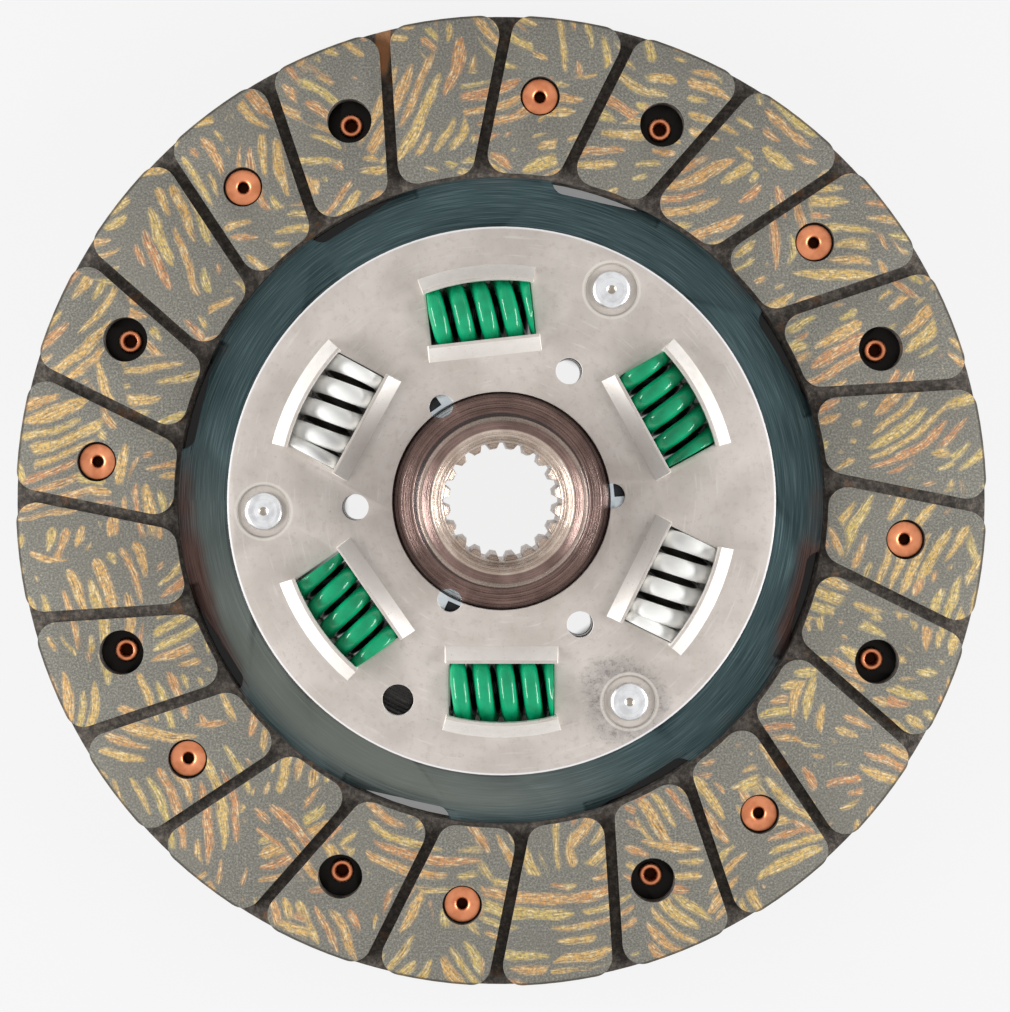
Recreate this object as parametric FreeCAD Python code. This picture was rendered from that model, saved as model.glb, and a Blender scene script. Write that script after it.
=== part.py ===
import FreeCAD, Part
import math
import os
from FreeCAD import Vector

# Dry clutch disc with a sprung hub, lying gearbox side up.
# Millimetres. The origin is on the hub's axis, midway between the two facings.
# +Z points to the gearbox and angles run anticlockwise from +X, seen from the gearbox.

# Friction facings
facing_od = 200.0
facing_id = 134.0
facing_t = 3.4
groove_count = 24
groove_w = 2.35
groove_depth = 1.5
groove_tangent_r = 18.1
groove_phase = 168.6
pad_in_r = 67.5
pad_corner_r = 4.0

# Cushion plate: spring steel, eight waved petals between the facings
petal_count = 8
cushion_t = 0.8
cushion_in_r = 20.0
petal_out_r = 98.0
petal_root_r = 65.2
petal_wave = 0.4
petal_flat = 12.0
petal_ramp = 2.5
slit_w = 4.0
leg_w = 5.4
leg_back_r = 70.2
leg_back_turn = -13.6
leg_front_r = 67.6
leg_front_turn = 2.9

# Facing rivets: hollow ended, one of each pair heads up and the other heads down
rivet_r = 83.8
head_angle = 84.5
tail_angle = 66.8
rivet_head_d = 7.4
rivet_head_t = 0.9
rivet_shank_d = 4.2
rivet_bore_d = 2.0
rivet_web_t = 0.5
rivet_roll_d = 4.9
rivet_roll_h = 0.9
rivet_roll_taper = 0.4
seat_t = 1.3
seat_d = 8.2
access_d = 9.2
access_shift = 0.5

# Damper springs
spring_r = 38.9
spring_od = 15.5
spring_wire = 3.7
spring_pitch = 4.9
spring_len = 21.1
spring_gap = 0.2
pair_centres = (1.25, 123.85, 242.45)
pair_half = 27.55
white_pairs = ((1, 1), (0, -1))

# Cover plates
cover_t = 1.5
cover_od = 112.0
cover_bore_d = 44.7
rear_cover_od = 108.0
window_in = 33.0
window_out = 44.9
lip_foot = 3.4
lip_flare = 0.8
lip_edge = 0.6
lip_clear = 0.45
notch_r = 22.7
notch_d = 5.1
notch_angle = 2.5
vent_r = 45.8
vent_d = 6.4
vent_angle = 242.5
jig_r = 29.9
jig_d = 5.4
pin_angle = 62.5

# Hub
flange_t = 3.1
flange_od = 104.0
shoulder_h = 2.5
shoulder_rise = 0.7
boss_d = 34.0
boss_top = 21.0
boss_bottom = -7.5
boss_chamfer = 1.0
spigot_d = 34.5
mouth_d = 28.4
cone_d = 26.4
cone_depth = 1.2
throat_d = 24.8
throat_depth = 4.0
spline_teeth = 20
spline_tip_d = 21.5
spline_root_d = 24.1
space_at_tip = 2.1
space_at_root = 0.95
hub_notch_r = 23.15
hub_notch_turns = (1, 2)

# Stop pins, through both cover plates
pin_r = 48.6
pin_body_d = 8.0
pin_shank_d = 6.0
pin_head_d = 8.2
pin_head_h = 0.8
pin_foot_d = 9.0
pin_foot_h = 1.2
pin_foot_taper = 0.4
pin_dimple_d = 1.9
coin_d = 10.7
coin_depth = 0.3

# Friction pack and centring
rear_ring_t = 0.8
front_ring_t = 0.6
washer_t = 0.6
washer_slot_in = 23.15
washer_slot_w = 3.0
washer_slot_turn = 3.2
cone_spring_t = 0.4
cone_spring_h = 0.9
bush_collar_w = 2.0
bush_collar_t = 0.9

# Motion and fits
twist = 6.0
slide_gap = 0.05
bush_gap = 0.05
hole_gap = 0.1
ring_gap = 0.33
stop_gap = 0.3

# Levels and sizes that follow from the ones above
facing_back = cushion_t / 2 + petal_wave
petal_pitch = 360.0 / petal_count
slot_angle = (head_angle + tail_angle) / 2
flange_bottom = cushion_t / 2 + rear_ring_t + slide_gap
flange_top = flange_bottom + flange_t
front_ring_z = flange_top + slide_gap
cone_spring_z = front_ring_z + front_ring_t
washer_z = cone_spring_z + cone_spring_h
cover_z = washer_z + washer_t
cover_top = cover_z + cover_t
rear_z = -cushion_t / 2
spring_z = (flange_bottom + flange_top) / 2
window_half = spring_len / 2 + spring_gap
shoulder_d = cover_bore_d - 2 * ring_gap
ring_out_d = 2 * (jig_r - jig_d / 2 - ring_gap)
over = 1.0

os.makedirs("parts", exist_ok=True)


def polar(r, angle, z=0.0):
    a = math.radians(angle)
    return Vector(r * math.cos(a), r * math.sin(a), z)


def disc(d, z0, z1, at=None):
    """A cylinder of diameter d from z0 to z1, on the axis or at a point."""
    centre = at or Vector(0, 0, 0)
    return Part.makeCylinder(d / 2, z1 - z0, Vector(centre.x, centre.y, z0))


def ring(d_out, d_in, z0, z1):
    return disc(d_out, z0, z1).cut(disc(d_in, z0 - over, z1 + over))


def turned(points):
    """A solid of revolution about Z from its half section in (r, z)."""
    outline = [Vector(r, 0, z) for r, z in points]
    face = Part.Face(Part.makePolygon(outline + outline[:1]))
    return face.revolve(Vector(0, 0, 0), Vector(0, 0, 1), 360)


def turn(shape, angle):
    out = shape.copy()
    out.rotate(Vector(0, 0, 0), Vector(0, 0, 1), angle)
    return out


def around(shape, count, start=0.0):
    return [turn(shape, start + 360.0 / count * i) for i in range(count)]


def one(shape):
    """The single clean solid that a boolean leaves."""
    return shape.removeSplitter().Solids[0]


def save(name, shapes):
    solids = shapes if isinstance(shapes, list) else [shapes]
    whole = solids[0] if len(solids) == 1 else Part.makeCompound(solids)
    whole.exportStep("parts/" + name + ".step")


def rect_wire(x0, x1, half, z):
    corners = [(x0, -half), (x1, -half), (x1, half), (x0, half), (x0, -half)]
    return Part.makePolygon([Vector(x, y, z) for x, y in corners])


def sector_wire(r0, r1, half_angle, z):
    outer = Part.Arc(polar(r1, -half_angle, z), polar(r1, 0, z), polar(r1, half_angle, z))
    inner = Part.Arc(polar(r0, half_angle, z), polar(r0, 0, z), polar(r0, -half_angle, z))
    side_a = Part.LineSegment(polar(r0, -half_angle, z), polar(r1, -half_angle, z))
    side_b = Part.LineSegment(polar(r1, half_angle, z), polar(r0, half_angle, z))
    return Part.Wire([e.toShape() for e in (side_a, outer, side_b, inner)])


def sector(r0, r1, half_angle, z0, z1):
    return Part.Face(sector_wire(r0, r1, half_angle, z0)).extrude(Vector(0, 0, z1 - z0))


def box(x0, x1, half, z0, z1):
    return Part.makeBox(x1 - x0, 2 * half, z1 - z0, Vector(x0, -half, z0))


# Friction facings


def groove_point(r, side, phase):
    """Where a groove's wall crosses radius r; side is +1 or -1."""
    x = groove_tangent_r + side * groove_w / 2
    return turn(Part.Vertex(x, -math.sqrt(r * r - x * x), 0), phase).Point


def pad():
    """One raised pad between two leaning grooves, its four corners rounded."""
    next_phase = groove_phase + 360.0 / groove_count
    out_r = facing_od / 2
    a = groove_point(out_r, 1, groove_phase)
    b = groove_point(pad_in_r, 1, groove_phase)
    c = groove_point(pad_in_r, -1, next_phase)
    d = groove_point(out_r, -1, next_phase)
    inner_mid = (b + c).normalize() * pad_in_r
    outer_mid = (a + d).normalize() * out_r
    edges = [
        Part.LineSegment(a, b),
        Part.Arc(b, inner_mid, c),
        Part.LineSegment(c, d),
        Part.Arc(d, outer_mid, a),
    ]
    web_t = facing_t - groove_depth
    blank = Part.Face(Part.Wire([e.toShape() for e in edges])).extrude(Vector(0, 0, groove_depth))
    blank.translate(Vector(0, 0, web_t))
    upright = [e for e in blank.Edges if abs(e.tangentAt(e.FirstParameter).z) > 0.99]
    return blank.makeFillet(pad_corner_r, upright)


def facing():
    """A facing with its back at Z 0, its pads and its two kinds of rivet hole."""
    web = ring(facing_od, facing_id, 0, facing_t - groove_depth)
    body = web.multiFuse(around(pad(), groove_count))
    seat = polar(rivet_r, head_angle)
    access = polar(rivet_r + access_shift, tail_angle)
    own = disc(seat_d, seat_t, facing_t + over, seat)
    own = own.fuse(disc(rivet_shank_d + hole_gap, -over, facing_t, seat))
    other = disc(access_d, -over, facing_t + over, access)
    return one(body.cut(around(own, petal_count) + around(other, petal_count)))


def make_facings():
    blank = facing()
    front = blank.copy()
    front.translate(Vector(0, 0, facing_back))
    rear = blank.copy()
    rear.rotate(Vector(0, 0, 0), polar(1, slot_angle), 180)
    rear.translate(Vector(0, 0, -facing_back))
    save("facing_gearbox_side", front)
    save("facing_flywheel_side", rear)


# Facing rivets


def facing_rivet():
    """A rivet for the gearbox side: head up on its seat, hollow tail rolled below the petal."""
    seat_z = facing_back + seat_t
    tail_z = facing_back - cushion_t
    roll_z = tail_z - rivet_roll_h
    bore = rivet_bore_d / 2
    rim = rivet_roll_d / 2
    shank = rivet_shank_d / 2
    head = rivet_head_d / 2
    head_z = seat_z + rivet_head_t
    web_z = (head_z + roll_z) / 2
    section = [
        (0, web_z + rivet_web_t / 2),
        (bore, web_z + rivet_web_t / 2),
        (bore, head_z),
        (head, head_z),
        (head, seat_z),
        (shank, seat_z),
        (shank, tail_z),
        (rim, tail_z),
        (rim - rivet_roll_taper, roll_z),
        (bore, roll_z),
        (bore, web_z - rivet_web_t / 2),
        (0, web_z - rivet_web_t / 2),
    ]
    return turned(section)


def make_rivets():
    rivet = facing_rivet()
    rivet.translate(polar(rivet_r, head_angle))
    flipped = rivet.copy()
    flipped.rotate(Vector(0, 0, 0), polar(1, slot_angle), 180)
    save("rivets_gearbox_side", around(rivet, petal_count))
    save("rivets_flywheel_side", around(flipped, petal_count))


# Cushion plate


def petal_wave_slab():
    """A waved strip: flat at the neck, up to the head rivet, down to the tail rivet."""
    neck_back = slot_angle + leg_front_turn + leg_w / 2 / math.radians(leg_front_r)
    neck_front = slot_angle + petal_pitch + leg_back_turn
    neck = polar(petal_root_r, (neck_back + neck_front) / 2)
    middle = (polar(rivet_r, head_angle) + polar(rivet_r, tail_angle + petal_pitch)) * 0.5
    lie = middle - neck
    reach = facing_od / 2
    ramp_end = petal_flat + petal_ramp
    bends = [
        (-reach, -petal_wave),
        (-ramp_end, -petal_wave),
        (-petal_flat, 0),
        (petal_flat, 0),
        (ramp_end, petal_wave),
        (reach, petal_wave),
    ]
    half = cushion_t / 2
    upper = [Vector(x, 0, z + half) for x, z in bends]
    lower = [Vector(x, 0, z - half) for x, z in reversed(bends)]
    face = Part.Face(Part.makePolygon(upper + lower + upper[:1]))
    slab = face.extrude(Vector(0, 2 * reach, 0))
    slab.translate(Vector(0, -reach, 0))
    slab = turn(slab, math.degrees(math.atan2(lie.y, lie.x)) - 90)
    slab.translate(neck)
    return slab


def petal():
    room = cushion_t + 2 * petal_wave
    span = sector(petal_root_r, petal_out_r, petal_pitch / 2, -room, room)
    return turn(span, slot_angle + petal_pitch / 2).common(petal_wave_slab())


def petal_slot():
    """A slit from the rim that ends in a slanting leg, so that the petal hangs on a neck."""
    z0, z1 = -over, over
    slit = turn(box(leg_front_r, facing_od / 2, slit_w / 2, z0, z1), slot_angle)
    back = polar(leg_back_r, slot_angle + leg_back_turn)
    front = polar(leg_front_r, slot_angle + leg_front_turn)
    run = front - back
    leg = box(0, run.Length, leg_w / 2, z0, z1)
    leg = turn(leg, math.degrees(math.atan2(run.y, run.x)))
    leg.translate(Vector(back.x, back.y, 0))
    return slit.multiFuse([leg, disc(leg_w, z0, z1, back), disc(leg_w, z0, z1, front)])


def window_turns():
    """The angle of each damper window, and whether its spring is a white one."""
    turns = []
    for k, centre in enumerate(pair_centres):
        for side in (-1, 1):
            turns.append((centre + side * pair_half, (k, side) in white_pairs))
    return turns


def spring_windows(z0, z1):
    """Openings through a plate that the springs pass, one for each spring."""
    half_wide = spring_od / 2 + spring_gap
    blank = box(spring_r - half_wide, spring_r + half_wide, window_half, z0, z1)
    return [turn(blank, angle) for angle, _ in window_turns()]


def pin_holes(d, z0, z1):
    return around(disc(d, z0, z1, polar(pin_r, pin_angle)), 3)


def jig_holes(z0, z1):
    return around(disc(jig_d, z0, z1, polar(jig_r, pin_angle)), 3)


def make_cushion_plate():
    half = cushion_t / 2
    plate = ring(2 * petal_root_r, 2 * cushion_in_r, -half, half)
    body = plate.multiFuse(around(petal(), petal_count))
    rivets = around(disc(rivet_shank_d + hole_gap, -over, over, polar(rivet_r, head_angle)), petal_count)
    tails = around(disc(rivet_shank_d + hole_gap, -over, over, polar(rivet_r, tail_angle)), petal_count)
    cuts = around(petal_slot(), petal_count) + rivets + tails
    cuts += spring_windows(-over, over) + jig_holes(-over, over)
    cuts += pin_holes(pin_shank_d + hole_gap, -over, over)
    save("cushion_plate", one(body.cut(cuts)))


# Cover plates


def lip_under(chord, axis_gap):
    """Height above the plate's inner face at which a lip's edge clears the spring."""
    return math.sqrt((spring_od / 2) ** 2 - chord**2) + lip_clear - axis_gap


def lip_top(under, run):
    """Height of a lip's outer face over its edge, for a sheet of even thickness."""
    return under + cover_t / math.cos(math.atan2(under, run))


def lips(axis_gap):
    """The two flared lips of a window along +X, and the hollows beneath them."""
    run = lip_foot - lip_edge
    end_reach = math.sqrt(window_out**2 - (spring_len / 2) ** 2)
    inner_under = lip_under(spring_r - window_in, axis_gap)
    outer_under = lip_under(end_reach - spring_r, axis_gap)
    foot_in = window_in - lip_foot
    foot_out = window_out + lip_foot
    wide = window_half + lip_flare
    outer_turn = math.degrees(window_half / window_out)
    edge_turn = math.degrees(lip_edge / window_out)
    inner = Part.makeLoft([
        rect_wire(foot_in, window_in, wide, cover_t),
        rect_wire(window_in - lip_edge, window_in, window_half + lip_edge, lip_top(inner_under, run)),
    ], True, True)
    inner_hollow = Part.makeLoft([
        rect_wire(foot_in + lip_edge, window_in + over, window_half, 0),
        rect_wire(window_in - lip_edge, window_in + over, window_half, inner_under),
    ], True, True)
    outer = Part.makeLoft([
        sector_wire(window_out, foot_out, outer_turn + edge_turn, cover_t),
        sector_wire(window_out, window_out + lip_edge, outer_turn + edge_turn, lip_top(outer_under, run)),
    ], True, True)
    outer_hollow = Part.makeLoft([
        sector_wire(window_out - over, foot_out - lip_edge, outer_turn, 0),
        sector_wire(window_out - over, window_out + lip_edge, outer_turn, outer_under),
    ], True, True)
    return [inner, outer], [inner_hollow, outer_hollow]


def cover_plate(od, bore_d, axis_gap):
    """A cover with its inner face at Z 0 and its lips rising away from the springs."""
    body = ring(od, bore_d, 0, cover_t)
    raised, hollows = lips(axis_gap)
    tall = 4 * cover_t
    opening = box(window_in, window_out + over, window_half, -over, tall)
    opening = opening.common(disc(2 * window_out, -over, tall))
    cuts = []
    for angle, _ in window_turns():
        body = body.multiFuse([turn(lip, angle) for lip in raised])
        cuts += [turn(part, angle) for part in hollows + [opening]]
    cuts += jig_holes(-over, tall) + pin_holes(pin_shank_d + hole_gap, -over, tall)
    return one(body.cut(cuts))


def make_covers():
    front = cover_plate(cover_od, cover_bore_d, cover_z - spring_z)
    notches = around(disc(notch_d, -over, 2 * cover_t, polar(notch_r, notch_angle)), 3)
    coins = pin_holes(coin_d, cover_t - coin_depth, 2 * cover_t)
    vent = disc(vent_d, -over, 2 * cover_t, polar(vent_r, vent_angle))
    front = one(front.cut(notches + coins + [vent]))
    front.translate(Vector(0, 0, cover_z))
    save("cover_plate_gearbox_side", front)
    rear = cover_plate(rear_cover_od, 2 * cushion_in_r, spring_z - rear_z)
    rear = rear.mirror(Vector(0, 0, 0), Vector(0, 0, 1))
    rear.translate(Vector(0, 0, rear_z))
    save("cover_plate_flywheel_side", rear)


# Hub


def hub_blank():
    shoulder_top = flange_top + shoulder_h
    section = [
        (throat_d / 2, boss_bottom),
        (spigot_d / 2 - boss_chamfer, boss_bottom),
        (spigot_d / 2, boss_bottom + boss_chamfer),
        (spigot_d / 2, flange_bottom),
        (flange_od / 2, flange_bottom),
        (flange_od / 2, flange_top),
        (shoulder_d / 2, flange_top),
        (shoulder_d / 2, shoulder_top),
        (boss_d / 2 + 2 * boss_chamfer, shoulder_top + shoulder_rise),
        (boss_d / 2, shoulder_top + shoulder_rise),
        (boss_d / 2, boss_top - boss_chamfer),
        (boss_d / 2 - boss_chamfer, boss_top),
        (mouth_d / 2, boss_top),
        (cone_d / 2, boss_top - cone_depth),
        (throat_d / 2, boss_top - throat_depth),
        (spline_tip_d / 2, boss_top - throat_depth - (throat_d - spline_tip_d) / 2),
        (spline_tip_d / 2, boss_bottom + (throat_d - spline_tip_d) / 2),
    ]
    return turned(section)


def spline_space():
    """The broached gap between two spline teeth, narrower towards its floor."""
    tip, root = spline_tip_d / 2, spline_root_d / 2
    z = boss_bottom - over
    half_root, half_tip = space_at_root / 2, space_at_tip / 2
    foot = math.sqrt(root**2 - half_root**2)
    mouth = math.sqrt(tip**2 - half_tip**2)
    inside = mouth - over
    floor = Part.Arc(Vector(foot, -half_root, z), Vector(root, 0, z), Vector(foot, half_root, z))
    sides = [
        (foot, half_root),
        (mouth, half_tip),
        (inside, half_tip),
        (inside, -half_tip),
        (mouth, -half_tip),
        (foot, -half_root),
    ]
    points = [Vector(x, y, z) for x, y in sides]
    wire = Part.Wire([floor.toShape()] + Part.makePolygon(points).Edges)
    return Part.Face(wire).extrude(Vector(0, 0, boss_top - boss_bottom + 2 * over))


def make_hub():
    blank = hub_blank()
    pin_turn = math.degrees((pin_body_d / 2 + stop_gap) / pin_r)
    pin_room = sector(pin_r - pin_body_d / 2 - stop_gap, flange_od / 2 + over, twist + pin_turn,
                      flange_bottom - over, flange_top + over)
    floor = flange_top + front_ring_t + over
    notch = disc(notch_d, floor, boss_top, polar(hub_notch_r, notch_angle))
    cuts = around(spline_space(), spline_teeth)
    cuts += spring_windows(flange_bottom - over, flange_top + over)
    cuts += around(pin_room, 3, pin_angle) + jig_holes(flange_bottom - over, flange_top + over)
    cuts += [turn(notch, 120 * k) for k in hub_notch_turns]
    save("hub", one(blank.cut(cuts)))


# Friction pack and centring bush


def make_friction_pack():
    inner_d = cover_bore_d
    rear_bottom = cushion_t / 2
    save("friction_ring_flywheel_side", ring(ring_out_d, inner_d, rear_bottom, rear_bottom + rear_ring_t))
    save("friction_ring_gearbox_side", ring(ring_out_d, inner_d, front_ring_z, cone_spring_z))
    washer = ring(ring_out_d, inner_d, washer_z, cover_z)
    slot = box(washer_slot_in, ring_out_d / 2 + over, washer_slot_w / 2, washer_z - over, cover_z + over)
    save("thrust_washer", one(washer.cut(around(slot, 3, notch_angle + washer_slot_turn))))
    r0, r1 = inner_d / 2, ring_out_d / 2
    rise = cone_spring_h - cone_spring_t
    section = [
        (r0, cone_spring_z + rise),
        (r1, cone_spring_z),
        (r1, cone_spring_z + cone_spring_t),
        (r0, cone_spring_z + cone_spring_h),
    ]
    save("cone_spring", turned(section))


def make_centring_bush():
    """A flanged bush in the flywheel-side plates, on which the hub turns."""
    collar_z = rear_z - cover_t
    inner = spigot_d / 2 + bush_gap
    outer = cushion_in_r - bush_gap
    collar = cushion_in_r + bush_collar_w
    section = [
        (inner, collar_z - bush_collar_t),
        (collar, collar_z - bush_collar_t),
        (collar, collar_z),
        (outer, collar_z),
        (outer, flange_bottom - slide_gap),
        (inner, flange_bottom - slide_gap),
    ]
    save("centring_bush", turned(section))


# Stop pins


def make_stop_pins():
    shank = pin_shank_d / 2
    shoulder = cushion_t / 2
    foot_z = rear_z - cover_t
    head_z = cover_top - coin_depth
    section = [
        (0, foot_z - pin_foot_h),
        (pin_foot_d / 2 - pin_foot_taper, foot_z - pin_foot_h),
        (pin_foot_d / 2, foot_z),
        (shank, foot_z),
        (shank, shoulder),
        (pin_body_d / 2, shoulder),
        (pin_body_d / 2, cover_z),
        (shank, cover_z),
        (shank, head_z),
        (pin_head_d / 2, head_z),
        (pin_head_d / 2, head_z + pin_head_h),
        (pin_dimple_d / 2, head_z + pin_head_h),
        (0, head_z + pin_head_h / 2),
    ]
    pin = turned(section)
    pin.translate(polar(pin_r, pin_angle))
    save("stop_pins", around(pin, 3))


# Damper springs


def damper_spring():
    """A coil spring along Y with both ends ground square."""
    mean_r = (spring_od - spring_wire) / 2
    rise = spring_len + 2 * spring_wire
    helix = Part.Wire(Part.makeHelix(spring_pitch, rise, mean_r))
    sides = 6
    corner = [360.0 / sides * (i + 0.5) for i in range(sides + 1)]
    outline = [Vector(mean_r, 0, 0) + Vector(spring_wire / 2 * math.cos(math.radians(a)), 0,
                                             spring_wire / 2 * math.sin(math.radians(a))) for a in corner]
    coil = helix.makePipeShell([Part.makePolygon(outline)], True, True)
    coil.translate(Vector(0, 0, -rise / 2))
    ground = disc(2 * spring_od, -spring_len / 2, spring_len / 2)
    coil = coil.common(ground).Solids[0]
    coil.rotate(Vector(0, 0, 0), Vector(1, 0, 0), 90)
    coil.translate(Vector(spring_r, 0, spring_z))
    return coil


def make_springs():
    spring = damper_spring()
    green = white = 0
    for angle, is_white in window_turns():
        if is_white:
            white += 1
            save("damper_spring_white_" + str(white), turn(spring, angle))
        else:
            green += 1
            save("damper_spring_green_" + str(green), turn(spring, angle))


make_facings()
make_rivets()
make_cushion_plate()
make_covers()
make_hub()
make_friction_pack()
make_centring_bush()
make_stop_pins()
make_springs()
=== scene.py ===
import bmesh
import bpy
import math
from mathutils import Matrix, Vector


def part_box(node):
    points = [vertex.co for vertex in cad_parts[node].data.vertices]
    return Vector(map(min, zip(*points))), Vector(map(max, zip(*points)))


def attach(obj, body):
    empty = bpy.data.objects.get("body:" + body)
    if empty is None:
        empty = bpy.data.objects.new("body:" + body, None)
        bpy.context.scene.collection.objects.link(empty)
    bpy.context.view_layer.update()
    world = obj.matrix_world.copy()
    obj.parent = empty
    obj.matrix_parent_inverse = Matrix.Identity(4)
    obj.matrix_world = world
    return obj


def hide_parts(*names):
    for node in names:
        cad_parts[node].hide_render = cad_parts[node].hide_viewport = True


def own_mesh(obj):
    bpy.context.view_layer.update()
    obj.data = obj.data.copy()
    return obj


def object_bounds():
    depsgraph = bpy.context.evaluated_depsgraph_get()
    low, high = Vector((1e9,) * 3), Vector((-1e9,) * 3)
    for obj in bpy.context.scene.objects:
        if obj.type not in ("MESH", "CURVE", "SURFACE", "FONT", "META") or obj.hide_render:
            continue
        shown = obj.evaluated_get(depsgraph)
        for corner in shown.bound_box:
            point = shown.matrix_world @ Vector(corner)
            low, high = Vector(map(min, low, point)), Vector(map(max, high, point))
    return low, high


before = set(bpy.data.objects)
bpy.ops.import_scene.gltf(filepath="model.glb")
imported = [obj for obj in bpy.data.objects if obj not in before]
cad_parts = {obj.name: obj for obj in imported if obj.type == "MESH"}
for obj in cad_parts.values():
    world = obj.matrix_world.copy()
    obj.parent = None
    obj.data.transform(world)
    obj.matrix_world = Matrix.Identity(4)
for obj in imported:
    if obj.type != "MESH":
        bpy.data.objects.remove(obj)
solid_low, solid_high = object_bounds()
mm = 0.001


# Friction facings
# Two moulded rings of resin-bonded yarn, laid in patches of side-by-side arcs, pressed and ground flat.
# Moulded grooves part each ring into pads. The grinding bares the yarn and leaves the grooves dark.


class Signal:
    """A socket of a node tree. Plain arithmetic on it adds Math nodes."""

    def __init__(self, graph, socket):
        self.graph = graph
        self.socket = socket

    def out(self, name):
        return Signal(self.graph, self.socket.node.outputs[name])

    def reckon(self, operation, *others):
        sockets = dict(enumerate((self,) + others))
        return self.graph.add("ShaderNodeMath", {"operation": operation}, sockets)

    def __add__(self, other):
        return self.reckon("ADD", other)

    def __sub__(self, other):
        return self.reckon("SUBTRACT", other)

    def __mul__(self, other):
        return self.reckon("MULTIPLY", other)

    def __truediv__(self, other):
        return self.reckon("DIVIDE", other)

    def __rsub__(self, other):
        return self.reckon("MULTIPLY_ADD", -1.0, other)

    __radd__ = __add__
    __rmul__ = __mul__

    def step(self, low, high):
        """Rises smoothly from 0 at low to 1 at high."""
        settings = {"interpolation_type": "SMOOTHSTEP"}
        return self.graph.add("ShaderNodeMapRange", settings, {0: self, 1: low, 2: high})


class Graph:
    """A node tree in the making."""

    def __init__(self, tree):
        self.tree = tree

    def add(self, kind, settings=None, sockets=None):
        """Adds one node. Settings come first, then each socket takes a value or a link."""
        node = self.tree.nodes.new(kind)
        for name, value in (settings or {}).items():
            if name == "stops":
                self.set_stops(node.color_ramp, value)
            else:
                setattr(node, name, value)
        for name, value in (sockets or {}).items():
            self.feed(node.inputs[name], value)
        live = [socket for socket in node.outputs if socket.enabled]
        return Signal(self, live[0]) if live else node

    def feed(self, socket, value):
        if isinstance(value, Signal):
            self.tree.links.new(value.socket, socket)
        else:
            socket.default_value = value

    def set_stops(self, ramp, stops):
        while len(ramp.elements) < len(stops):
            ramp.elements.new(1.0)
        for element, (place, colour) in zip(ramp.elements, stops):
            element.position = place
            element.color = colour


def tint(red, green, blue):
    """A colour as its sRGB numbers from 0 to 255 give it, in linear light."""
    shares = [channel / 255 for channel in (red, green, blue)]
    linear = [c / 12.92 if c <= 0.04045 else ((c + 0.055) / 1.055) ** 2.4 for c in shares]
    return (*linear, 1.0)


class Finish(Graph):
    """A surface finish: a material whose nodes read the place on the object in millimetres."""

    def __init__(self, name):
        self.material = bpy.data.materials.new(name)
        self.material.use_nodes = True
        super().__init__(self.material.node_tree)
        self.tree.nodes.clear()
        place = self.add("ShaderNodeTexCoord").out("Object")
        self.place = self.vector("SCALE", place, Scale=1 / mm)
        parts = self.add("ShaderNodeSeparateXYZ", {}, {0: self.place})
        self.x, self.y, self.z = (parts.out(axis) for axis in "XYZ")
        self.flat = self.join(self.x, self.y)
        self.radius = self.vector("LENGTH", self.flat).out("Value")
        self.sweep = self.y.reckon("ARCTAN2", self.x)

    def vector(self, operation, *sockets, **named):
        inputs = {**dict(enumerate(sockets)), **named}
        return self.add("ShaderNodeVectorMath", {"operation": operation}, inputs)

    def join(self, x, y=0.0, z=0.0):
        return self.add("ShaderNodeCombineXYZ", {}, {0: x, 1: y, 2: z})

    def noise(self, size, detail, at=None, rough=0.5):
        """Soft noise whose lumps are about size millimetres wide."""
        sockets = {"Vector": at or self.place, "Scale": 1 / size, "Detail": detail, "Roughness": rough}
        return self.add("ShaderNodeTexNoise", {}, sockets)

    def from_ring(self, count, reach, start):
        """Distance to the nearest of some upright axes that stand evenly on a circle."""
        pitch = 2 * math.pi / count
        share = (self.sweep - math.radians(start)) / pitch
        off = (share - share.reckon("ROUND")) * pitch
        spot = self.join(self.radius * off.reckon("COSINE") - reach, self.radius * off.reckon("SINE"))
        return self.vector("LENGTH", spot).out("Value")

    def from_spot(self, x, y):
        return self.vector("DISTANCE", self.flat, (x, y, 0.0)).out("Value")

    def combed(self, slope, fineness, fall=0.0):
        """A normal that leans in and out by slope, like tool marks turned round the disc's axis.

        Fineness is about how many marks there are to the millimetre, and fall tips a face outwards.
        """
        marks = self.noise(1.0, 1.0, at=self.join(self.radius * fineness, self.z * fineness))
        round_axis = self.vector("NORMALIZE", self.vector("CROSS_PRODUCT", (0.0, 0.0, 1.0), self.flat))
        cut = self.add("ShaderNodeVectorTransform", {
            "vector_type": "VECTOR", "convert_from": "OBJECT", "convert_to": "WORLD"}, {0: round_axis})
        upright = self.add("ShaderNodeNewGeometry").out("Normal")
        lean = self.vector("CROSS_PRODUCT", cut, upright)
        lean = self.vector("SCALE", lean, Scale=(marks - 0.5) * slope + fall)
        return self.vector("NORMALIZE", self.vector("ADD", upright, lean))

    def blend(self, amount, first, second):
        """Mixes two colours: the second shows where amount is 1."""
        node = self.tree.nodes.new("ShaderNodeMix")
        node.data_type = "RGBA"
        self.feed(node.inputs[0], amount)
        self.feed(node.inputs[6], first)
        self.feed(node.inputs[7], second)
        return Signal(self, node.outputs[2])

    def ramp(self, amount, *stops):
        return self.add("ShaderNodeValToRGB", {"stops": stops}, {0: amount})

    def bump(self, height, depth, strength, under=None):
        """Relief whose full height is depth millimetres, laid over the relief under it."""
        sockets = {"Height": height, "Distance": depth * mm, "Strength": strength}
        if under:
            sockets["Normal"] = under
        return self.add("ShaderNodeBump", {}, sockets)

    def surface(self, colour, roughness, metallic, normal, **named):
        shader = self.add("ShaderNodeBsdfPrincipled", {}, {
            "Base Color": colour, "Roughness": roughness, "Metallic": metallic, "Normal": normal, **named})
        self.add("ShaderNodeOutputMaterial", {}, {"Surface": shader})
        return self.material


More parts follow.
